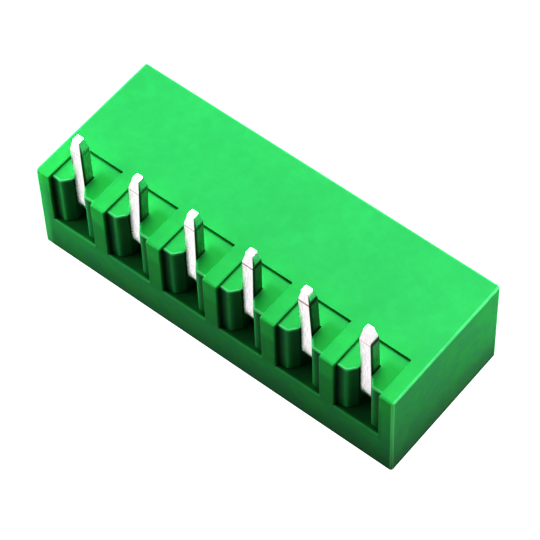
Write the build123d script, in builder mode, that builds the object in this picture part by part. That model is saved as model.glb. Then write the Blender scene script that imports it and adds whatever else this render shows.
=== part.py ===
from build123d import *

import os

# Pluggable terminal block header: six poles, right-angle solder pins, closed ends.
#
# The header lies on its outer face, the one that looks away from the circuit board when it is
# soldered. X runs along the row of poles, Y from the rear wall to the mouth that takes the plug, and
# Z from the outer face to the board side, where the solder pins stand up. The origin is the middle
# of the outer face. All sizes are millimetres.

# Row of poles
poles = 6
pitch = 5.08
end_margin = 3.15  # middle of an outer pole to the end face

# Outside of the housing
housing_depth = 12.1  # rear face to mouth
housing_height = 8.8  # outer face to board face
edge_radius = 0.22  # soft outer edges of the moulding

# Mating cavity
end_wall = 1.0
board_wall = 0.9
outer_wall = 1.05
inner_wall = 1.8  # slots of the pins to the floor of the cavity
cavity_corner = 0.3
mouth_bevel = 0.3  # lead-in round the mouth

# Coding features on the inside of the outer wall
guide_width = 0.9  # guide rib between two poles
guide_height = 0.55
guide_setback = 1.6  # mouth to the front of the ribs
groove_width = 2.5  # coding groove at each pole
groove_sink = 0.35
groove_stop = 1.8  # end of the grooves to the floor of the cavity
notch_depth = 1.7  # notch in the edge of the outer wall at each pole

# Rear wall: window, sill and board-side recess of each pole
window_width = 3.8
window_sink = 0.37  # rear face to the blocks that hold the pin
sill_height = 3.7
recess_reach = 3.6  # rear face to the end of the recess
recess_sink = 0.2
lip_radius = 0.1  # soft edges of the windows

# Slot for the upright leg of each pin
slot_clearance = 0.04
slot_flare = 0.52  # widening of the slot's mouth, on each side
slot_flare_depth = 0.65
block_corner = 0.3  # rounding between the front of a block and the flare

# Contact pins
pin_side = 1.0
pin_edge = 0.07  # bevelled edges of the drawn wire
pin_setback = 1.6  # rear face to the middle of the upright leg
bend_radius = 1.0  # on the middle line of the wire
contact_drop = 3.8  # board face to the middle of the contact leg
solder_length = 4.35  # board face to the solder tip
solder_taper = 1.0
solder_tip = 0.58
contact_setback = 2.1  # mouth to the contact tip
contact_taper = 1.1
contact_tip = 0.45

# Places that follow from the sizes above
housing_length = (poles - 1) * pitch + 2 * end_margin
rear = -housing_depth / 2
mouth = housing_depth / 2
pole_places = [(pole - (poles - 1) / 2) * pitch for pole in range(poles)]
windows_reach = (poles - 1) * pitch / 2 + window_width / 2
upright_y = rear + pin_setback
block_face = rear + window_sink
flare_end = block_face + slot_flare_depth
slot_half = pin_side / 2 + slot_clearance
slot_back = upright_y + pin_side / 2
cavity_floor = slot_back + inner_wall
cavity_depth = mouth - cavity_floor
cavity_length = housing_length - 2 * end_wall
cavity_height = housing_height - board_wall - outer_wall
recess_level = housing_height - recess_sink
contact_z = housing_height - contact_drop
solder_shoulder = housing_height + solder_length - solder_taper
contact_shoulder = mouth - contact_setback - contact_taper

# Planes that carry the sketches
mouth_plane = Plane.XZ.offset(-mouth)
rear_plane = Plane.XZ.offset(-rear)
board_plane = Plane.XY.offset(housing_height)


def cavity_outline(widening=0):
    """Section of the mating cavity, wider all round by the given amount."""
    with Locations((0, outer_wall + cavity_height / 2)):
        RectangleRounded(
            cavity_length + 2 * widening,
            cavity_height + 2 * widening,
            cavity_corner + widening,
        )


def wire_section(side):
    """Square section of the wire with bevelled corners."""
    Rectangle(side, side)
    chamfer(vertices(), length=pin_edge)


with BuildPart() as housing:
    # Outer block with soft edges all round
    with BuildSketch(Plane.XY):
        Rectangle(housing_length, housing_depth)
    extrude(amount=housing_height)
    fillet(housing.edges(), radius=edge_radius)

    # Mating cavity, with a guide rib left standing between each two poles
    with BuildSketch(mouth_plane):
        cavity_outline()
        with Locations((0, outer_wall)):
            with GridLocations(pitch, pitch, poles - 1, 1):
                Rectangle(guide_width, 2 * guide_height, mode=Mode.SUBTRACT)
    extrude(amount=cavity_depth, mode=Mode.SUBTRACT)

    # The ribs stop short of the mouth
    with BuildSketch(mouth_plane):
        cavity_outline()
    extrude(amount=guide_setback, mode=Mode.SUBTRACT)

    # Lead-in bevel round the mouth
    with BuildSketch(mouth_plane):
        cavity_outline(mouth_bevel)
    with BuildSketch(mouth_plane.offset(mouth_bevel)):
        cavity_outline()
    loft(mode=Mode.SUBTRACT)

    # Coding groove at each pole, in the inside of the outer wall
    with BuildSketch(mouth_plane):
        with Locations((0, outer_wall)):
            with GridLocations(pitch, pitch, poles, 1):
                Rectangle(groove_width, 2 * groove_sink)
    extrude(amount=cavity_depth - groove_stop, mode=Mode.SUBTRACT)

    # Notch in the front edge of the outer wall at each pole
    with BuildSketch(Plane.XY):
        with Locations((0, mouth)):
            with GridLocations(pitch, pitch, poles, 1):
                Rectangle(groove_width, 2 * notch_depth)
    extrude(amount=outer_wall, mode=Mode.SUBTRACT)

    # Window of each pole in the rear face, open towards the board
    with BuildSketch(rear_plane):
        with Locations((0, housing_height)):
            with GridLocations(pitch, pitch, poles, 1):
                Rectangle(window_width, 2 * (housing_height - sill_height))
    extrude(amount=-window_sink, mode=Mode.SUBTRACT)

    # Shallow recess of each pole in the board face
    with BuildSketch(board_plane):
        with Locations((0, rear)):
            with GridLocations(pitch, pitch, poles, 1):
                Rectangle(window_width, 2 * recess_reach)
    extrude(amount=-recess_sink, mode=Mode.SUBTRACT)

    # Slot of each upright leg, flared towards the rear, down to the sill
    for pole_x in pole_places:
        with BuildSketch(board_plane) as slot:
            with BuildLine():
                Polyline(
                    (pole_x - window_width / 2, rear),
                    (pole_x - window_width / 2, block_face),
                    (pole_x - slot_half - slot_flare, block_face),
                    (pole_x - slot_half, flare_end),
                    (pole_x - slot_half, slot_back),
                    (pole_x + slot_half, slot_back),
                    (pole_x + slot_half, flare_end),
                    (pole_x + slot_half + slot_flare, block_face),
                    (pole_x + window_width / 2, block_face),
                    (pole_x + window_width / 2, rear),
                    close=True,
                )
            make_face()
            face_corners = slot.vertices().filter_by_position(Axis.Y, block_face, block_face)
            block_corners = face_corners.filter_by_position(
                Axis.X,
                pole_x - window_width / 2,
                pole_x + window_width / 2,
                (False, False),
            )
            fillet(block_corners, radius=block_corner)
        extrude(amount=sill_height - housing_height, mode=Mode.SUBTRACT)

    # Soft upper edges of the blocks that hold the pins
    block_edges = housing.edges().filter_by_position(Axis.Z, recess_level, recess_level)
    front_edges = block_edges.filter_by_position(
        Axis.Y, block_face, flare_end, (True, False)
    )
    fillet(front_edges, radius=lip_radius)

    # Soft edges of the sill and of the partitions, round each window
    rear_edges = housing.edges().filter_by_position(Axis.Y, rear, rear)
    sill_edges = rear_edges.filter_by_position(Axis.Z, sill_height, sill_height)
    jamb_edges = rear_edges.filter_by(Axis.Z).filter_by_position(
        Axis.X, -windows_reach, windows_reach
    )
    fillet(sill_edges + jamb_edges, radius=lip_radius)

    # Square hole of each contact leg, rounded over where the pin bends into it
    for pole_x in pole_places:
        with BuildSketch(Plane.YZ.offset(pole_x)) as seat:
            with Locations((slot_back, contact_z)):
                Rectangle(inner_wall, pin_side, align=(Align.MIN, Align.CENTER))
            with Locations((upright_y, contact_z - pin_side / 2)):
                Rectangle(
                    pin_side, bend_radius + pin_side, align=(Align.CENTER, Align.MIN)
                )
            inner_corner = (slot_back, contact_z + pin_side / 2)
            bend_corner = seat.vertices().sort_by_distance(inner_corner)[0]
            fillet(bend_corner, radius=bend_radius - pin_side / 2)
        extrude(amount=pin_side / 2, both=True, mode=Mode.SUBTRACT)

housing.part.label = "housing"

os.makedirs("parts", exist_ok=True)
export_step(housing.part, "parts/housing.step")

# Contact pins, each one piece of square wire bent once and pointed at both ends
for number, pole_x in enumerate(pole_places, start=1):
    with BuildPart() as pin:
        with BuildLine(Plane.YZ.offset(pole_x)) as middle_line:
            FilletPolyline(
                (upright_y, solder_shoulder),
                (upright_y, contact_z),
                (contact_shoulder, contact_z),
                radius=bend_radius,
            )
        with BuildSketch(Plane.XY.offset(solder_shoulder)):
            with Locations((pole_x, upright_y)):
                wire_section(pin_side)
        sweep(path=middle_line.wire())

        # Solder tip
        with BuildSketch(Plane.XY.offset(solder_shoulder)):
            with Locations((pole_x, upright_y)):
                wire_section(pin_side)
        with BuildSketch(Plane.XY.offset(solder_shoulder + solder_taper)):
            with Locations((pole_x, upright_y)):
                wire_section(solder_tip)
        loft(ruled=True)

        # Contact tip
        with BuildSketch(Plane.XZ.offset(-contact_shoulder)):
            with Locations((pole_x, contact_z)):
                wire_section(pin_side)
        with BuildSketch(Plane.XZ.offset(-contact_shoulder - contact_taper)):
            with Locations((pole_x, contact_z)):
                wire_section(contact_tip)
        loft(ruled=True)

    pin.part.label = f"pin_{number}"
    export_step(pin.part, f"parts/pin_{number}.step")
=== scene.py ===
"""Looks of a six-pole pluggable terminal block header: satin green housing and tin-plated pins.

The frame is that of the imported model: X along the row of poles, Y from the rear wall to the mouth and
Z from the outer face, on which the header lies, to the board face. Sizes are written in millimetres,
and MM turns them into the frame's metres.
"""

import math
from collections import namedtuple

import bpy
import numpy as np
from mathutils import Matrix, Vector


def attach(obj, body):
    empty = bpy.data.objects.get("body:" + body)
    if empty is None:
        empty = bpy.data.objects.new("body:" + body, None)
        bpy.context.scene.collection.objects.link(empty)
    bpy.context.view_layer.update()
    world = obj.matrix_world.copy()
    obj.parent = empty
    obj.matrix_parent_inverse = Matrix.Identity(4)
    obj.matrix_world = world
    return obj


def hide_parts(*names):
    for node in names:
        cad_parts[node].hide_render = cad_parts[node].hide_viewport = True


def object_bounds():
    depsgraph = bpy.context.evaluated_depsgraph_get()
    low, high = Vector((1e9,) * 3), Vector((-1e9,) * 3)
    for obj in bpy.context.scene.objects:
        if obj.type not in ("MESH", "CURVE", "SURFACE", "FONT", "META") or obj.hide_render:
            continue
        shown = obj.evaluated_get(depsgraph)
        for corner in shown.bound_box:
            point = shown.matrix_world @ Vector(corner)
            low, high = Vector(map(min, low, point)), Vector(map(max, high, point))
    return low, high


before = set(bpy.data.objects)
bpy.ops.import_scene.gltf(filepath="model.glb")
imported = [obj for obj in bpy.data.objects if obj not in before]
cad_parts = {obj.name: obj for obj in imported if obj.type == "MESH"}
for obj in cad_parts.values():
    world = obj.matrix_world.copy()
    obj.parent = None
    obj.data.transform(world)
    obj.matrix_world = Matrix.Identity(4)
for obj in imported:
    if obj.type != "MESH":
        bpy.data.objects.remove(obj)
cad_low, cad_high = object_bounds()

MM = 0.001

# Camera of the photograph
VIEW_AZIMUTH = math.radians(40.85)
VIEW_ELEVATION = math.radians(55.98)
VIEW_ROLL = math.radians(-2.48)
VIEW_AIM = Vector((0.67, -0.35, 4.4)) * MM
VIEW_DISTANCE = 192.2 * MM
VIEW_NEAR = 10 * MM
VIEW_FAR = 5
LENS = 181.9
SENSOR = 36.0

# Tone of the picture, and the white floor with the shade that it sends back near the header
CONTRAST = 1.8
FLOOR_HALF = 2000
FLOOR_GREY = 0.7
FLOOR_GLOW = 1.15
FLOOR_SHADE = (2, 12)

# Housing, as the solids have it
PITCH = 5.08
POLES = 6
HALF_LENGTH = cad_high[0] / MM
REAR = cad_low[1] / MM
MOUTH = cad_high[1] / MM
BOARD_Z = 8.8
SILL_Z = 3.7
WINDOW_HALF = 1.9
BLOCK_FACE = REAR + 0.37
RECESS_Z = BOARD_Z - 0.2
RECESS_END = REAR + 3.6
SLOT_HALF = 0.54
SLOT_FLARE = 0.52
SLOT_FLARE_DEPTH = 0.65
FLARE_EDGE = SLOT_HALF + SLOT_FLARE
FLARE_SIDE = math.hypot(SLOT_FLARE, SLOT_FLARE_DEPTH)
FLARE_NORMAL = (SLOT_FLARE_DEPTH / FLARE_SIDE, SLOT_FLARE / FLARE_SIDE)

# Soft boxes: name, azimuth, elevation, watts and size
BOX_AIM = (0, 0, 4)
BOX_REACH = 300
SOFTBOXES = (
    ("high_left_box", 225, 65, 0.61, 160),
    ("high_back_box", 180, 65, 0.36, 160),
    ("low_back_box", 180, 15, 0.39, 160),
    ("left_box", 270, 15, 0.49, 160),
    ("left_front_box", 315, 40, 0.20, 160),
    ("right_box", 90, 15, 0.03, 160),
    ("front_glint", 336, 25, 0.04, 24),
    ("right_glint", 117, 21, 0.04, 24),
)

# Small cards close to the header: name, place along the row, azimuth, elevation, distance and watts
CARD_SIZE = 14
CARD_AIM_Z = 6
CARDS = (
    ("left_card", -HALF_LENGTH, 315, 15, 32, 0.0056),
    ("left_right_card", -HALF_LENGTH, 135, 25, 32, 0.0003),
    ("middle_card", 0, 90, 25, 32, 0.0009),
    ("middle_front_card", 0, 45, 25, 32, 0.0003),
    ("middle_left_card", 0, 315, 25, 32, 0.0002),
    ("right_card", HALF_LENGTH, 148, 0, 18, 0.0017),
    ("right_back_card", HALF_LENGTH, 225, 25, 32, 0.0003),
)

# Pins, as the solids have them
PIN_HALF = 0.5
UPRIGHT_Y = REAR + 1.6
CONTACT_Z = BOARD_Z - 3.8
BEND_RADIUS = 1.0
TIP_Z = BOARD_Z + 4.35
TIP_HALF = 0.29
SHOULDER_Z = TIP_Z - 1.0
TAPER = (PIN_HALF - TIP_HALF) / (TIP_Z - SHOULDER_Z)
CONTACT_TIP_Y = MOUTH - 2.1
CONTACT_TIP_HALF = 0.225
CONTACT_SHOULDER_Y = CONTACT_TIP_Y - 1.1

# Finish of the wire: its rounded edges, the groove of the pointing tool, and the rings of its ends as
# distance from the tip or shoulder, loss of half side and, at the tips, rounding of the edges
PIN_EDGE = 0.09
TAPER_EDGE = 0.08
TOOL_MARK_Z = 12.02
TOOL_MARK_REACH = 0.05
TOOL_MARK_DEPTH = 0.018
CONTACT_END = ((0.0, 0.05, 0.05), (0.05, 0.0, 0.07))
CONTACT_SHOULDER = ((0.14, 0.035), (0.05, 0.022), (-0.03, 0.006), (-0.12, 0.0))
SOLDER_SHOULDER = ((-0.04, 0.002), (0.03, 0.012), (0.12, 0.0312))
SOLDER_TAPER = (0.35, 0.65)
SOLDER_END = ((0.02, 0.0, 0.07), (0.0, 0.01, 0.06))

# Stations along the wire's straight runs, as first, last and number, and steps of its bend and corners
LEVEL_RUN = (CONTACT_SHOULDER_Y - 0.85, UPRIGHT_Y + BEND_RADIUS + 0.4, 6)
UPRIGHT_RUN = (CONTACT_Z + BEND_RADIUS + 0.5, TOOL_MARK_Z - 0.12, 12)
BEND_STEPS = 14
CORNER_STEPS = 4

# Each pin: lean and sink of its solder tip, tool mark, painted shade of its cut sides, shades of its
# rolled faces, burr under the shoulder and share of the corner burr that goes on up the taper
LEAN_START_Z = BOARD_Z - 0.5
PinLooks = namedtuple("PinLooks", "lean sink tool_mark side front shoulder taper_burr")
PIN_LOOKS = (
    PinLooks(-0.04, 0.00, 0.20, 1.30, 1.00, 0.30, 1.0),
    PinLooks(0.26, 0.00, 0.45, 1.06, 1.00, 0.50, 1.0),
    PinLooks(0.08, 0.00, 0.45, 1.06, 1.00, 0.55, 1.0),
    PinLooks(0.10, 0.00, 1.00, 0.65, 0.97, 0.85, 1.0),
    PinLooks(-0.26, 0.20, 1.00, 0.65, 0.97, 0.85, 1.0),
    PinLooks(-0.15, 0.05, 0.25, 1.00, 0.94, 0.90, 0.0),
)

# Greens of the housing, pairs from the dark to the light parts of its cloudy tint
BLACK = (0, 0, 0, 1)
WHITE = (1, 1, 1, 1)
# Painted sheen and light: the level greens are paler for a painted sheen, and the rear greens lighter for
# painted light near the rear wall
SHEEN_LEVEL_GREENS = ((0.086, 0.558, 0.210, 1), (0.092, 0.586, 0.228, 1))
LIT_REAR_GREENS = ((0.079, 0.590, 0.190, 1), (0.084, 0.618, 0.204, 1))
UPRIGHT_GREENS = ((0.060, 0.535, 0.155, 1), (0.064, 0.560, 0.165, 1))
FLOW_GREEN = (0.060, 0.465, 0.195, 1)
# Painted shade on the middles of the partitions
PARTITION_SHADE_GREEN = (0.02, 0.30, 0.02, 1)
# Painted shadow of the pins on the recess floors, and painted shade along the recesses' backs and left
# sides
RECESS_SHADOW_GREEN = (0.055, 0.515, 0.14, 1)
RECESS_CORNER_SHADE_GREEN = (0.02, 0.20, 0.05, 1)
# Painted highlight on the lips
LIP_HIGHLIGHT_GREEN = (0.36, 0.93, 0.55, 1)
# Painted highlights on the corners, board edges, noses, sills and left rim, and painted light on the heads
# of the rear wall
CORNER_HIGHLIGHT_GREEN = (0.22, 0.99, 0.36, 1)
LIT_HEAD_GREEN = (0.05, 0.78, 0.06, 1)
HIGHLIGHT_GREEN = (0.16, 0.80, 0.31, 1)
BOARD_EDGE_HIGHLIGHT_GREEN = (0.25, 0.88, 0.43, 1)

# Greys and browns of the tin plating
TIN_LINES = ((0.86, 0.83, 0.845, 1), (0.97, 0.945, 0.955, 1))
TIN_CLOUD = (0.93, 0.88, 0.90, 1)
TIN_PINK_GREY = (0.2, 0.1, 0.16, 1)
# The cut sides' greys are partly their own dull colour and partly painted shade, scaled for each pin
CUT_LINES = ((0.40, 0.43, 0.38), (0.55, 0.59, 0.52))
BURR_GREY = (0.05, 0.07, 0.05, 1)
STAIN_BROWN = (0.30, 0.12, 0.07, 1)

# In all that follows a ramp is a pair, where it is 0 and where it is 1, and a band is its low end, its
# high end and how far it fades outside them. Places are in millimetres.

# Walls of the housing
ON_REAR = (REAR + 0.15, REAR + 0.05)
ON_ENDS = (HALF_LENGTH - 0.35, HALF_LENGTH - 0.25)
INSIDE_ENDS = (HALF_LENGTH - 0.85, HALF_LENGTH - 1.05)
IN_WINDOW = (WINDOW_HALF + 0.05, WINDOW_HALF - 0.05)
BESIDE_WINDOW = (WINDOW_HALF - 0.05, WINDOW_HALF + 0.05)

# Cloudy tint of the moulding, with a painted sheen on the level faces and painted light towards their
# rear, and the flow marks that show most on its upright faces
CLOUD_RANGE = (0.36, 0.64)
FLOW_RANGE = (0.40, 0.60)
UPRIGHT_FACES = (0.7, 0.3)
LIT_REARWARD = (0.0, -4.0)
FLOW_SHARE = 0.15
UPRIGHT_FLOW_SHARE = 0.50

# Painted shade in the windows and slots, with painted highlights on the noses of the blocks
WINDOW_SHADE_Z = (SILL_Z - 0.10, RECESS_Z - 0.15, 0.10)
WINDOW_SHADE_Y = (REAR + 0.25, REAR + 2.95, 0.18)
BLOCK_FOOT = (SILL_Z + 0.05, SILL_Z + 0.25)
JAMB_REACH = (WINDOW_HALF - 0.70, WINDOW_HALF)
NOSE_HIGHLIGHT_REACH = (0.50, 0.05)
NOSE_CORE_HIGHLIGHT_REACH = (0.28, 0.05)
WINDOW_SHADE = 0.42
JAMB_SHADE = 0.22
NOSE_HIGHLIGHT_LIFT = 0.30
NOSE_CORE_HIGHLIGHT_SHARE = 0.25

# Painted shade: darker middles of the partitions and darker feet of all sides
PARTITION_Z = (4.0, 6.4, 0.9)
OFF_LEVEL = (0.95, 0.80)
FOOT_Z = (0.70, 0.10)
LOWER_Z = (3.0, 0.5)
PARTITION_SHARE = 0.30
FOOT_SHADE = 0.50
LOWER_SHADE = 0.13

# Painted shadow on the floors of the recesses, deeper beside the pins, and painted shade along their backs
# and left sides
RECESS_FLOOR_Z = (RECESS_Z - 0.05, RECESS_Z + 0.08, 0.03)
RECESS_SIDE = (WINDOW_HALF + 0.02, WINDOW_HALF - 0.02)
RECESS_BACK = (RECESS_END + 0.02, RECESS_END)
PIN_SHADOW_X = (0.3, 0.9)
PIN_SHADOW_Y = (REAR + 3.05, REAR + 2.35)
SHADED_BACK_Y = (RECESS_END - 0.22, RECESS_END - 0.03)
SHADED_LEFT_X = (0.20 - WINDOW_HALF, 0.02 - WINDOW_HALF)
CORNER_SHADE_SHARE = 0.45

# Painted highlights on the lips of the sills, partitions and blocks
BLOCK_LIP_REACH = (0.20, 0.08)
BLOCK_LIP_Z = (RECESS_Z - 0.14, RECESS_Z + 0.01, 0.06)
BLOCK_LIP_Y = (REAR + 0.30, REAR + 0.95, 0.10)
BLOCK_LIP_X = (WINDOW_HALF, WINDOW_HALF - 0.06)
BLOCK_LIP_SHARE = 0.45
WALL_LIP_SHARE = 0.32
TOP_LIP_Z = (BOARD_Z - 0.8, BOARD_Z - 0.5)
TOP_LIP_Y = (REAR + 0.30, REAR + 0.20)
TOP_LIP_LOSS = 0.12

# Painted highlights and painted light on the outer edges: upright corners, left rim, heads of the rear
# wall, sills and board edges
UPRIGHT_EDGE = (0.01, 0.15)
SIDE_EDGE = (0.03, 0.40)
LEFT_RIM_X = (0.90 - HALF_LENGTH, 0.45 - HALF_LENGTH)
LOW_RIM_Z = (6.0, 1.0)
RIM_SHARE = 0.25
LOW_RIM_SHARE = 0.60
HEAD_Z = (6.4, 8.2)
HEAD_SHARE = 0.24
SILL_EDGE_Z = (SILL_Z - 0.22, SILL_Z + 0.02, 0.08)
SILL_SHARE = 0.12
BOARD_EDGE_Z = (BOARD_Z - 0.6, BOARD_Z - 0.4)
HIGHLIGHT_CLOUD = 0.3
EDGE_COAT = 0.5

# Satin surface of the moulding
GRAIN_SCALE = 7000.0
GRAIN_HEIGHT = 0.008
SATIN_ROUGHNESS = 0.32
SATIN_CLOUD = 0.06
LIP_GLOSS = 0.05

# Drawn and cut surface of the pins, their burrs and the stain of the pointing tool
DRAWN_STRETCH = (60.0, 1.2, 1.0)
DRAWN_DETAIL = 4.0
DRAWN_HEIGHT = 0.004
TIN_RANGE = (0.35, 0.65)
TIN_CLOUD_SHARE = 0.35
CUT_SIDES = (0.55, 0.90)
BURR_SIDES = (0.75, 0.95)
BURR_Y = (UPRIGHT_Y - 0.17, UPRIGHT_Y - 0.39)
BURR_SHARE = 0.85
SHOULDER_BURR_Z = (TOOL_MARK_Z - 0.10, TOOL_MARK_Z + 0.08, 0.25)
STAIN_REACH = (0.12, 0.04)
STAIN_WANDER = 0.16
STAIN_SHARE = 0.85
TIN_ROUGHNESS = 0.20
TIN_ROUGHNESS_CLOUD = 0.12
CUT_ROUGHNESS = 0.10

# Sockets of a Mix node by kind: first, second and result. They go by number, as their names repeat.
MIX_SOCKETS = {"FLOAT": (2, 3, 0), "RGBA": (6, 7, 2)}

Surface = namedtuple("Surface", "place x y z across level")
Row = namedtuple("Row", "from_pole off_pole past_flare behind_face rear ends inside")


def direction(azimuth, elevation):
    """Unit vector from the header towards a place at this azimuth and elevation."""
    return Vector(
        (
            math.sin(azimuth) * math.cos(elevation),
            -math.cos(azimuth) * math.cos(elevation),
            math.sin(elevation),
        )
    )


def make_camera():
    """Camera on a sphere round VIEW_AIM, level first and then rolled about its own axis."""
    back = direction(VIEW_AZIMUTH, VIEW_ELEVATION)
    right = Vector((math.cos(VIEW_AZIMUTH), math.sin(VIEW_AZIMUTH), 0))
    up = back.cross(right)
    axes = Matrix((right, up, back)).transposed().to_4x4()
    data = bpy.data.cameras.new("photo_camera")
    data.lens = LENS
    data.sensor_width = SENSOR
    data.clip_start = VIEW_NEAR
    data.clip_end = VIEW_FAR
    camera = bpy.data.objects.new("photo_camera", data)
    camera.matrix_world = (
        Matrix.Translation(VIEW_AIM + back * VIEW_DISTANCE)
        @ axes
        @ Matrix.Rotation(VIEW_ROLL, 4, "Z")
    )
    bpy.context.collection.objects.link(camera)
    bpy.context.scene.camera = camera


def connect(tree, value, socket):
    """Feeds a socket with a number, a colour or another socket."""
    if isinstance(value, bpy.types.NodeSocket):
        tree.links.new(value, socket)
    else:
        socket.default_value = value


def node(tree, kind, **inputs):
    """New shader node. Keys are socket names with _ for a space, or node properties in lower case."""
    made = tree.nodes.new(kind)
    for key, value in inputs.items():
        if key[0].islower():
            setattr(made, key, value)
        else:
            connect(tree, value, made.inputs[key.replace("_", " ")])
    return made


def math_node(tree, operation, *values, clamp=False):
    """Result socket of a Math node. A value is a number or a socket."""
    made = node(tree, "ShaderNodeMath", operation=operation, use_clamp=clamp)
    for socket, value in zip(made.inputs, values):
        connect(tree, value, socket)
    return made.outputs[0]


def product(tree, *values):
    """Socket that multiplies several masks or numbers."""
    result = values[0]
    for value in values[1:]:
        result = math_node(tree, "MULTIPLY", result, value)
    return result


def scaled(tree, value, factor, offset, clamp=False):
    """Socket of value times factor plus offset."""
    return math_node(tree, "MULTIPLY_ADD", value, factor, offset, clamp=clamp)


def size_of(tree, socket):
    """Socket without its sign."""
    return math_node(tree, "ABSOLUTE", socket)


def larger(tree, first, second):
    """Socket of the larger of two masks."""
    return math_node(tree, "MAXIMUM", first, second)


def mix(tree, amount, first, second, kind="RGBA"):
    """Socket that goes from first to second, two colours or two numbers, as amount goes from 0 to 1."""
    made = node(tree, "ShaderNodeMix", data_type=kind)
    first_socket, second_socket, result_socket = MIX_SOCKETS[kind]
    connect(tree, amount, made.inputs[0])
    connect(tree, first, made.inputs[first_socket])
    connect(tree, second, made.inputs[second_socket])
    return made.outputs[result_socket]


def mix_shaders(tree, amount, first, second):
    """Socket that goes from the first shader to the second as amount goes from 0 to 1."""
    made = node(tree, "ShaderNodeMixShader", Fac=amount)
    tree.links.new(first, made.inputs[1])
    tree.links.new(second, made.inputs[2])
    return made.outputs[0]


def ramp(tree, value, zero_at, one_at):
    """Socket that goes smoothly from 0 at zero_at to 1 at one_at, which may lie on either side."""
    climbs = zero_at < one_at
    made = node(
        tree,
        "ShaderNodeMapRange",
        interpolation_type="SMOOTHSTEP",
        Value=value,
        From_Min=min(zero_at, one_at),
        From_Max=max(zero_at, one_at),
        To_Min=0.0 if climbs else 1.0,
        To_Max=1.0 if climbs else 0.0,
    )
    return made.outputs["Result"]


def band(tree, value, low, high, fade):
    """Socket that is 1 between low and high and falls to 0 over fade outside them."""
    return product(tree, ramp(tree, value, low - fade, low), ramp(tree, value, high + fade, high))


def noise(tree, place, scale, detail=3.0):
    """Grey value of a noise texture."""
    made = node(tree, "ShaderNodeTexNoise", Vector=place, Scale=scale, Detail=detail)
    return made.outputs["Fac"]


def stretched(tree, place, scale):
    """Place multiplied by a vector."""
    made = node(tree, "ShaderNodeVectorMath", operation="MULTIPLY")
    connect(tree, place, made.inputs[0])
    connect(tree, scale, made.inputs[1])
    return made.outputs["Vector"]


def new_group(name, inputs, outputs):
    """Empty shader node group with its sockets, its input node and its output node."""
    group = bpy.data.node_groups.new(name, "ShaderNodeTree")
    for label, kind, value in inputs:
        socket = group.interface.new_socket(label, in_out="INPUT", socket_type=kind)
        socket.default_value = value
    for label, kind in outputs:
        group.interface.new_socket(label, in_out="OUTPUT", socket_type=kind)
    return group, group.nodes.new("NodeGroupInput"), group.nodes.new("NodeGroupOutput")


def use_group(tree, group, **inputs):
    """Output sockets of a node group that is placed with its own values."""
    made = tree.nodes.new("ShaderNodeGroup")
    made.node_tree = group
    for key, value in inputs.items():
        connect(tree, value, made.inputs[key])
    return made.outputs


def soft_edge_group():
    """Masks of the faces that round an edge. For a normal n they are 4 times the square of a product:
    ny nz for Front, edges along X, nx nz for Side, edges along Y, and nx ny for Upright, edges along Z."""
    masks = {"Front": ("Y", "Z"), "Side": ("X", "Z"), "Upright": ("X", "Y")}
    group, _, result = new_group(
        "soft_edges", [], [(name, "NodeSocketFloat") for name in masks]
    )
    normal = node(group, "ShaderNodeTexCoord").outputs["Normal"]
    parts = node(group, "ShaderNodeSeparateXYZ", Vector=normal).outputs
    for name, (first, second) in masks.items():
        both = product(group, parts[first], parts[second])
        mask = math_node(group, "MULTIPLY", product(group, both, both), 4.0, clamp=True)
        group.links.new(mask, result.inputs[name])
    return group


def cloud_group():
    """Cloudy value round one half, made of a broad and a fine noise on the same coordinates."""
    group, given, result = new_group(
        "cloud",
        [
            ("Vector", "NodeSocketVector", (0, 0, 0)),
            ("Broad", "NodeSocketFloat", 200.0),
            ("Fine", "NodeSocketFloat", 1500.0),
            ("Share", "NodeSocketFloat", 0.5),
        ],
        [("Value", "NodeSocketFloat")],
    )
    values = given.outputs
    broad = noise(group, values["Vector"], values["Broad"], 2.0)
    fine = noise(group, values["Vector"], values["Fine"])
    group.links.new(mix(group, values["Share"], broad, fine, "FLOAT"), result.inputs["Value"])
    return group


SOFT_EDGES = soft_edge_group()
CLOUD = cloud_group()


def principled(name):
    """New material with its node tree and its Principled BSDF."""
    material = bpy.data.materials.new(name)
    material.use_nodes = True
    return material, material.node_tree, material.node_tree.nodes["Principled BSDF"]


def surface_places(tree):
    """Object coordinates, also as X, Y and Z in millimetres, and the sizes of the normal's X and Z."""
    coordinates = node(tree, "ShaderNodeTexCoord").outputs
    millimetres = stretched(tree, coordinates["Object"], (1 / MM, 1 / MM, 1 / MM))
    parts = node(tree, "ShaderNodeSeparateXYZ", Vector=millimetres).outputs
    facing = node(tree, "ShaderNodeSeparateXYZ", Vector=coordinates["Normal"]).outputs
    return Surface(
        coordinates["Object"],
        parts["X"],
        parts["Y"],
        parts["Z"],
        size_of(tree, facing["X"]),
        size_of(tree, facing["Z"]),
    )


def row_of_poles(tree, at):
    """Places and masks that follow the row of poles and its walls.

    from_pole is x + PITCH / 2 wrapped into half a pitch each way, and off_pole is its size. past_flare
    is off_pole less FLARE_EDGE, and behind_face is y less BLOCK_FACE.
    """
    shifted = math_node(tree, "ADD", at.x, PITCH / 2)
    from_pole = math_node(tree, "WRAP", shifted, PITCH / 2, -PITCH / 2)
    off_pole = size_of(tree, from_pole)
    off_middle = size_of(tree, at.x)
    return Row(
        from_pole,
        off_pole,
        math_node(tree, "SUBTRACT", off_pole, FLARE_EDGE),
        math_node(tree, "SUBTRACT", at.y, BLOCK_FACE),
        ramp(tree, at.y, *ON_REAR),
        ramp(tree, off_middle, *ON_ENDS),
        ramp(tree, off_middle, *INSIDE_ENDS),
    )


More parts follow.
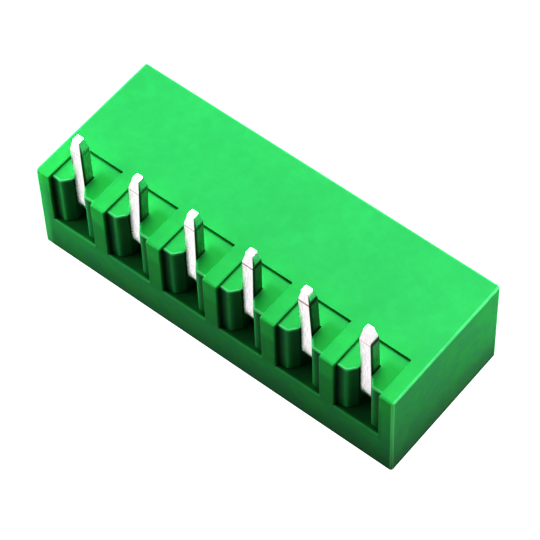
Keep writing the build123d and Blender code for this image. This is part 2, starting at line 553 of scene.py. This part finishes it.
def moulded_green_and_sheen(tree, at):
    """Cloudy tint, paler with a painted sheen on the level faces and lighter with painted light towards
    their rear, with flow marks, and the mask of its clouds.
    """
    cloud = use_group(tree, CLOUD, Vector=at.place, Broad=170.0, Fine=1300.0, Share=0.45)
    cloudy = ramp(tree, cloud["Value"], *CLOUD_RANGE)
    upright = ramp(tree, at.level, *UPRIGHT_FACES)
    # Painted light: the level faces get a paler green for a painted sheen, lighter again towards the rear
    # wall
    sheen_level_green = mix(
        tree,
        ramp(tree, at.y, *LIT_REARWARD),
        mix(tree, cloudy, *SHEEN_LEVEL_GREENS),
        mix(tree, cloudy, *LIT_REAR_GREENS),
    )
    tint = mix(tree, upright, sheen_level_green, mix(tree, cloudy, *UPRIGHT_GREENS))
    flow = use_group(tree, CLOUD, Vector=at.place, Broad=380.0, Fine=1400.0, Share=0.45)
    marks = ramp(tree, flow["Value"], *FLOW_RANGE)
    share = scaled(tree, upright, UPRIGHT_FLOW_SHARE, FLOW_SHARE)
    return mix(tree, product(tree, marks, share), tint, FLOW_GREEN), cloudy


def shade_windows(tree, at, row, tint):
    """Painted shade in the windows and slots, and the mask of the painted highlights on the noses' cores.

    The painted shade is darkest beside the partitions and least dark at a nose, which is a block's corner
    between its front and the flare of the slot.
    """
    window = product(
        tree, band(tree, at.z, *WINDOW_SHADE_Z), band(tree, at.y, *WINDOW_SHADE_Y), row.inside
    )
    on_block = product(tree, window, ramp(tree, at.z, *BLOCK_FOOT))
    squares = math_node(
        tree,
        "ADD",
        product(tree, row.behind_face, row.behind_face),
        product(tree, row.past_flare, row.past_flare),
    )
    from_nose = math_node(tree, "SQRT", squares)
    nose = product(tree, ramp(tree, from_nose, *NOSE_HIGHLIGHT_REACH), on_block)
    nose_core_highlight = product(tree, ramp(tree, from_nose, *NOSE_CORE_HIGHLIGHT_REACH), on_block, NOSE_CORE_HIGHLIGHT_SHARE)
    # Painted shade, deepest at the jambs and lifted by a painted highlight at each nose
    shade = scaled(tree, ramp(tree, row.off_pole, *JAMB_REACH), JAMB_SHADE, WINDOW_SHADE)
    shade = scaled(tree, nose, -NOSE_HIGHLIGHT_LIFT, shade, clamp=True)
    return mix(tree, product(tree, window, shade), tint, BLACK), nose_core_highlight


def shade_sides(tree, at, row, tint):
    """Painted shade: partitions a little darker half way down, and every side darker towards its foot."""
    partition_shade = product(
        tree,
        row.rear,
        band(tree, at.z, *PARTITION_Z),
        ramp(tree, row.off_pole, *BESIDE_WINDOW),
        row.inside,
        PARTITION_SHARE,
    )
    tint = mix(tree, partition_shade, tint, PARTITION_SHADE_GREEN)
    foot = product(tree, ramp(tree, at.z, *FOOT_Z), FOOT_SHADE)
    lower = product(tree, ramp(tree, at.z, *LOWER_Z), LOWER_SHADE)
    dark = product(tree, larger(tree, lower, foot), ramp(tree, at.level, *OFF_LEVEL))
    return mix(tree, dark, tint, BLACK)


def shade_recesses(tree, at, row, tint):
    """Recess floors a deeper green beside each pin for a painted shadow, and darker along their backs and
    left sides for painted shade.
    """
    recess = product(
        tree,
        band(tree, at.z, *RECESS_FLOOR_Z),
        ramp(tree, row.off_pole, *RECESS_SIDE),
        ramp(tree, at.y, *RECESS_BACK),
    )
    # Painted shadow of the pin beside it
    deeper = product(
        tree, recess, ramp(tree, row.from_pole, *PIN_SHADOW_X), ramp(tree, at.y, *PIN_SHADOW_Y)
    )
    tint = mix(tree, deeper, tint, RECESS_SHADOW_GREEN)
    # Painted shade in the back and left corners
    rim = larger(tree, ramp(tree, at.y, *SHADED_BACK_Y), ramp(tree, row.from_pole, *SHADED_LEFT_X))
    return mix(tree, product(tree, recess, rim, CORNER_SHADE_SHARE), tint, RECESS_CORNER_SHADE_GREEN)


def lip_highlights(tree, at, row, edges, tint):
    """Painted highlights on the lips of the sills, partitions and blocks, and their mask.

    The distance to a block's edge is the smaller of behind_face and the distance to the flare, which is
    the product of (past_flare, behind_face) and FLARE_NORMAL.
    """
    at_top = product(tree, ramp(tree, at.z, *TOP_LIP_Z), ramp(tree, at.y, *TOP_LIP_Y))
    wall_lip = product(
        tree, edges["Front"], scaled(tree, at_top, -TOP_LIP_LOSS, WALL_LIP_SHARE)
    )
    to_flare = scaled(
        tree, row.past_flare, FLARE_NORMAL[0], product(tree, row.behind_face, FLARE_NORMAL[1])
    )
    to_edge = math_node(tree, "MINIMUM", row.behind_face, to_flare)
    block_lip = product(
        tree,
        ramp(tree, to_edge, *BLOCK_LIP_REACH),
        band(tree, at.z, *BLOCK_LIP_Z),
        band(tree, at.y, *BLOCK_LIP_Y),
        ramp(tree, row.off_pole, *BLOCK_LIP_X),
        BLOCK_LIP_SHARE,
    )
    # Painted highlight: lips paler where they round over
    lip_highlight = math_node(tree, "MAXIMUM", wall_lip, block_lip, clamp=True)
    return mix(tree, lip_highlight, tint, LIP_HIGHLIGHT_GREEN), lip_highlight


def highlight_edges(tree, at, row, edges, cloudy, nose_core_highlight, colour):
    """Painted highlights and painted light on soft edges: upright corners, heads of the rear wall, left
    rim, sills, cores of the noses and the board edge of each end. Also the coat that makes corners and
    board edges shine."""
    # Painted highlight on the upright corners of the ends
    corner = product(tree, ramp(tree, edges["Upright"], *UPRIGHT_EDGE), row.ends)
    colour = mix(tree, corner, colour, CORNER_HIGHLIGHT_GREEN)
    # Painted light on the heads of the rear wall
    head = product(tree, row.rear, ramp(tree, at.z, *HEAD_Z), HEAD_SHARE)
    colour = mix(tree, head, colour, LIT_HEAD_GREEN)

    # Painted light on the left rim, stronger low down, and painted highlights on the sills and noses
    low_down = scaled(tree, ramp(tree, at.z, *LOW_RIM_Z), LOW_RIM_SHARE, RIM_SHARE)
    rim = product(tree, ramp(tree, at.x, *LEFT_RIM_X), row.rear, low_down)
    sill = product(
        tree,
        row.rear,
        band(tree, at.z, *SILL_EDGE_Z),
        ramp(tree, row.off_pole, *IN_WINDOW),
        row.inside,
        SILL_SHARE,
    )
    soft = larger(tree, larger(tree, rim, sill), nose_core_highlight)
    colour = mix(tree, soft, colour, HIGHLIGHT_GREEN)

    # Painted highlight along the board edge of each end
    board_edge = product(
        tree,
        ramp(tree, edges["Side"], *SIDE_EDGE),
        ramp(tree, at.z, *BOARD_EDGE_Z),
        row.ends,
        scaled(tree, cloudy, HIGHLIGHT_CLOUD, 1 - HIGHLIGHT_CLOUD),
    )
    colour = mix(tree, board_edge, colour, BOARD_EDGE_HIGHLIGHT_GREEN)
    return colour, product(tree, larger(tree, corner, board_edge), EDGE_COAT)


def housing_plastic():
    """Satin green polyamide with a fine spark-eroded grain, and painted light, shade and highlights in its
    tint.
    """
    material, tree, shader = principled("housing_plastic")
    at = surface_places(tree)
    row = row_of_poles(tree, at)
    edges = use_group(tree, SOFT_EDGES)
    tint, cloudy = moulded_green_and_sheen(tree, at)
    tint, nose_core_highlight = shade_windows(tree, at, row, tint)
    tint = shade_sides(tree, at, row, tint)
    tint = shade_recesses(tree, at, row, tint)
    colour, lip_highlight = lip_highlights(tree, at, row, edges, tint)
    colour, coat = highlight_edges(tree, at, row, edges, cloudy, nose_core_highlight, colour)
    satin = scaled(tree, cloudy, SATIN_CLOUD, SATIN_ROUGHNESS)
    grain = noise(tree, at.place, GRAIN_SCALE)
    bump = node(
        tree, "ShaderNodeBump", Strength=0.2, Distance=GRAIN_HEIGHT * MM, Height=grain
    )
    connect(tree, colour, shader.inputs["Base Color"])
    connect(tree, scaled(tree, lip_highlight, -LIP_GLOSS, satin), shader.inputs["Roughness"])
    connect(tree, coat, shader.inputs["Coat Weight"])
    connect(tree, bump.outputs["Normal"], shader.inputs["Normal"])
    shader.inputs["Coat Roughness"].default_value = 0.25
    shader.inputs["Specular IOR Level"].default_value = 0.07
    return material


def rolled_tin(tree, lines, mottled, looks):
    """Colour of the wire's rolled faces: bright lines, clouds and a little pinkish grey."""
    bright = mix(tree, lines, *TIN_LINES)
    bright = mix(tree, product(tree, mottled, TIN_CLOUD_SHARE), bright, TIN_CLOUD)
    return mix(tree, 1.0 - looks.front, bright, TIN_PINK_GREY)


def burrs(tree, at, below, looks):
    """Mask of the burrs on the cut sides, along their front corners and under the shoulder."""
    reach = scaled(tree, below, 1.0 - looks.taper_burr, looks.taper_burr)
    corner = product(tree, ramp(tree, at.y, *BURR_Y), reach, BURR_SHARE)
    shoulder = product(tree, band(tree, at.z, *SHOULDER_BURR_Z), looks.shoulder)
    return product(tree, larger(tree, corner, shoulder), ramp(tree, at.across, *BURR_SIDES))


def tool_stain(tree, at, cloud, mottled, looks):
    """Mask of the broken line that the pointing tool leaves under the taper.

    The line wanders: its height is TOOL_MARK_Z less STAIN_WANDER times the cloud's value less a half.
    """
    wander = scaled(tree, cloud, STAIN_WANDER, -STAIN_WANDER / 2)
    height = math_node(tree, "ADD", at.z, wander)
    off = size_of(tree, math_node(tree, "SUBTRACT", height, TOOL_MARK_Z))
    broken = scaled(tree, mottled, 0.5, 0.5)
    strength = product(tree, broken, STAIN_SHARE * looks.tool_mark)
    return math_node(tree, "MULTIPLY", ramp(tree, off, *STAIN_REACH), strength, clamp=True)


def tin_plating(number, looks):
    """Bright tin: drawn lines along the wire, dull cut sides with painted shade, burrs and the tool's
    brown stain.
    """
    material, tree, shader = principled(f"tin_plating_{number}")
    at = surface_places(tree)
    along = node(tree, "ShaderNodeUVMap", uv_map="wire").outputs["UV"]
    drawn = noise(tree, stretched(tree, along, DRAWN_STRETCH), 1.0, DRAWN_DETAIL)
    lines = ramp(tree, drawn, *TIN_RANGE)
    cloud = use_group(tree, CLOUD, Vector=at.place, Broad=600.0, Fine=2600.0, Share=0.4)["Value"]
    mottled = ramp(tree, cloud, *TIN_RANGE)

    below = ramp(tree, at.z, TOOL_MARK_Z + TOOL_MARK_REACH, TOOL_MARK_Z - TOOL_MARK_REACH)
    cut = product(tree, ramp(tree, at.across, *CUT_SIDES), below)
    # Cut sides: dull grey, scaled for each pin as painted shade and light
    dull = [(*(looks.side * part for part in colour), 1) for colour in CUT_LINES]
    colour = mix(tree, cut, rolled_tin(tree, lines, mottled, looks), mix(tree, lines, *dull))
    colour = mix(tree, burrs(tree, at, below, looks), colour, BURR_GREY)
    colour = mix(tree, tool_stain(tree, at, cloud, mottled, looks), colour, STAIN_BROWN)

    gloss = scaled(tree, mottled, TIN_ROUGHNESS_CLOUD, TIN_ROUGHNESS)
    bump = node(
        tree, "ShaderNodeBump", Strength=0.25, Distance=DRAWN_HEIGHT * MM, Height=drawn
    )
    connect(tree, colour, shader.inputs["Base Color"])
    connect(tree, scaled(tree, cut, CUT_ROUGHNESS, gloss), shader.inputs["Roughness"])
    connect(tree, bump.outputs["Normal"], shader.inputs["Normal"])
    shader.inputs["Metallic"].default_value = 1.0
    return material


def wire_stations(looks):
    """Places along the wire as rows of y, z, direction in degrees, half side and edge rounding.

    The wire is drawn from the contact tip to the solder tip. Its level leg runs along -Y at CONTACT_Z,
    direction 180, and turns up round a quarter circle into the upright leg along +Z, direction 90. At
    turn t of the bend, y = UPRIGHT_Y + r - r sin t and z = CONTACT_Z + r - r cos t, with r BEND_RADIUS.
    """
    level = [(CONTACT_TIP_Y - back, CONTACT_TIP_HALF - loss, edge) for back, loss, edge in CONTACT_END]
    level += [(CONTACT_SHOULDER_Y + past, PIN_HALF - loss, PIN_EDGE) for past, loss in CONTACT_SHOULDER]
    level += [(y, PIN_HALF, PIN_EDGE) for y in np.linspace(*LEVEL_RUN)]

    degrees = np.linspace(0, 90, BEND_STEPS + 1)
    bend_y = UPRIGHT_Y + BEND_RADIUS - BEND_RADIUS * np.sin(np.radians(degrees))
    bend_z = CONTACT_Z + BEND_RADIUS - BEND_RADIUS * np.cos(np.radians(degrees))

    groove = (0.0, TOOL_MARK_DEPTH * looks.tool_mark, 0.0)
    groove_z = np.linspace(TOOL_MARK_Z - TOOL_MARK_REACH, TOOL_MARK_Z + TOOL_MARK_REACH, len(groove))
    upright = [(z, PIN_HALF, PIN_EDGE) for z in np.linspace(*UPRIGHT_RUN)]
    upright += [(z, PIN_HALF - loss, PIN_EDGE) for z, loss in zip(groove_z, groove)]
    upright += [(SHOULDER_Z + past, PIN_HALF - loss, PIN_EDGE) for past, loss in SOLDER_SHOULDER]
    upright += [(SHOULDER_Z + past, PIN_HALF - past * TAPER, TAPER_EDGE) for past in SOLDER_TAPER]
    upright += [(TIP_Z - back, TIP_HALF - loss, edge) for back, loss, edge in SOLDER_END]

    rows = [(y, CONTACT_Z, 180.0, half, edge) for y, half, edge in level]
    rows += [(y, z, 180.0 - turn, PIN_HALF, PIN_EDGE) for y, z, turn in zip(bend_y, bend_z, degrees)]
    rows += [(UPRIGHT_Y, z, 90.0, half, edge) for z, half, edge in upright]
    return np.array(rows)


def wire_points(stations, pole, looks):
    """Points of a pin, one ring for each of its stations.

    The section is a square with rounded corners, anticlockwise from the upper end of its right side. In
    the corner with signs s, at angle a, its point is (half - edge) s + edge (cos a, sin a). A section
    point (u, v) at direction d goes to x = pole + u + lean, y + v cos(d + 90) and z + v sin(d + 90)
    less sink. Lean and sink grow in proportion to the height above LEAN_START_Z.
    """
    quarters = 90 * np.arange(4)[:, None]
    angles = np.radians(quarters + np.linspace(0, 90, CORNER_STEPS + 1)).ravel()
    middles = np.radians(quarters + np.full(CORNER_STEPS + 1, 45)).ravel()
    y, z, heading, half, edge = stations.T[:, :, None]
    across = (half - edge) * np.sign(np.cos(middles)) + edge * np.cos(angles)
    outward = (half - edge) * np.sign(np.sin(middles)) + edge * np.sin(angles)
    turned = np.radians(heading + 90)
    rise = np.clip((z - LEAN_START_Z) / (TIP_Z - LEAN_START_Z), 0, None)
    return np.stack(
        (
            pole + across + looks.lean * rise,
            y + outward * np.cos(turned),
            z + outward * np.sin(turned) - looks.sink * rise,
        ),
        axis=-1,
    )


def tube_faces(rings, count):
    """Quads between neighbouring rings of a closed tube, and a face at each of its ends."""
    first = count * np.arange(rings - 1)[:, None]
    step = np.arange(count)
    following = (step + 1) % count
    corners = (first + step, first + following, first + count + following, first + count + step)
    quads = np.stack(corners, axis=-1).reshape(-1, 4)
    last_ring = count * (rings - 1) + step
    return [*quads.tolist(), step[::-1].tolist(), last_ring.tolist()]


def tube_places(run, count):
    """UV places for the corners of tube_faces: sides of the wire passed, and millimetres along it."""
    around = np.linspace(0, 4, count + 1)
    left, right = around[:-1], around[1:]
    near, far = run[:-1, None], run[1:, None]
    corners = np.array(
        [np.broadcast_arrays(u, v) for u, v in ((left, near), (right, near), (right, far), (left, far))]
    )
    quads = np.moveaxis(corners, (0, 1), (2, 3)).reshape(-1, 2)
    ends = [np.column_stack((left, np.full(count, place))) for place in (run[0], run[-1])]
    return np.concatenate((quads, *ends))


def make_pin(number, looks):
    """One bent contact, closed at both ends, in place of the solid of the same number."""
    stations = wire_stations(looks)
    points = wire_points(stations, (number - (POLES + 1) / 2) * PITCH, looks)
    rings, count, _ = points.shape
    steps = np.linalg.norm(np.diff(stations[:, :2], axis=0), axis=1)
    run = np.concatenate(([0.0], np.cumsum(steps)))
    faces = tube_faces(rings, count)
    mesh = bpy.data.meshes.new(f"contact_{number}")
    mesh.from_pydata((points.reshape(-1, 3) * MM).tolist(), [], faces)
    mesh.uv_layers.new(name="wire")
    mesh.uv_layers["wire"].data.foreach_set("uv", tube_places(run, count).ravel())
    mesh.polygons.foreach_set("use_smooth", [True] * (len(faces) - 2) + [False, False])
    mesh.update()
    mesh.materials.append(tin_plating(number, looks))
    pin = bpy.data.objects.new(f"contact_{number}", mesh)
    bpy.context.collection.objects.link(pin)
    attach(pin, "root")
    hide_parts(f"pin_{number}")


def floor_card():
    """White to the camera and in reflections, and clear from below. To the light that it sends back it
    is a matte card, black near the header and grey from the far end of FLOOR_SHADE on."""
    material = bpy.data.materials.new("floor_card")
    material.use_nodes = True
    tree = material.node_tree
    tree.nodes.clear()
    geometry = node(tree, "ShaderNodeNewGeometry").outputs
    parts = node(tree, "ShaderNodeSeparateXYZ", Vector=geometry["Position"]).outputs
    squares = []
    for axis, edge in zip("XY", cad_high):
        off = math_node(tree, "SUBTRACT", size_of(tree, parts[axis]), float(edge))
        off = larger(tree, off, 0.0)
        squares.append(product(tree, off, off))
    away = math_node(tree, "SQRT", math_node(tree, "ADD", *squares))
    shade = ramp(tree, away, *(place * MM for place in FLOOR_SHADE))
    grey = mix(tree, shade, BLACK, (FLOOR_GREY, FLOOR_GREY, FLOOR_GREY, 1))
    matte = node(tree, "ShaderNodeBsdfDiffuse", Color=grey).outputs[0]
    glow = node(tree, "ShaderNodeEmission", Color=WHITE, Strength=FLOOR_GLOW).outputs[0]
    clear = node(tree, "ShaderNodeBsdfTransparent").outputs[0]
    ray = node(tree, "ShaderNodeLightPath").outputs
    seen = larger(tree, ray["Is Camera Ray"], ray["Is Glossy Ray"])
    above = mix_shaders(tree, seen, matte, glow)
    out = node(tree, "ShaderNodeOutputMaterial")
    tree.links.new(mix_shaders(tree, geometry["Backfacing"], above, clear), out.inputs["Surface"])
    return material


def make_floor():
    """Plain square floor under the header."""
    half = FLOOR_HALF * MM
    corners = [(-half, -half, 0), (half, -half, 0), (half, half, 0), (-half, half, 0)]
    mesh = bpy.data.meshes.new("floor")
    mesh.from_pydata(corners, [], [(0, 1, 2, 3)])
    mesh.materials.append(floor_card())
    floor = bpy.data.objects.new("floor", mesh)
    bpy.context.collection.objects.link(floor)


def soft_light(name, azimuth, elevation, power, size, aim, reach):
    """Square area light round a point, turned to it and unseen by the camera."""
    data = bpy.data.lights.new(name, "AREA")
    data.size = size * MM
    data.energy = power
    light = bpy.data.objects.new(name, data)
    away = direction(math.radians(azimuth), math.radians(elevation))
    light.location = (Vector(aim) + away * reach) * MM
    light.rotation_mode = "QUATERNION"
    light.rotation_quaternion = away.to_track_quat("Z", "Y")
    light.visible_camera = False
    bpy.context.collection.objects.link(light)


def make_studio():
    """Soft boxes round the header, small cards close to it, and no light from the world."""
    for name, azimuth, elevation, power, size in SOFTBOXES:
        soft_light(name, azimuth, elevation, power, size, BOX_AIM, BOX_REACH)
    for name, place_x, azimuth, elevation, reach, power in CARDS:
        aim = (place_x, 0, CARD_AIM_Z)
        soft_light(name, azimuth, elevation, power, CARD_SIZE, aim, reach)
    world = bpy.data.worlds.new("studio")
    world.use_nodes = True
    world.node_tree.nodes["Background"].inputs["Strength"].default_value = 0.0
    bpy.context.scene.world = world


make_camera()
make_studio()
make_floor()

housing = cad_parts["housing"]
housing.data.materials.clear()
housing.data.materials.append(housing_plastic())
for number, looks in enumerate(PIN_LOOKS, start=1):
    make_pin(number, looks)

view = bpy.context.scene.view_settings
view.view_transform = "Standard"
view.look = "None"
view.gamma = 1 / CONTRAST
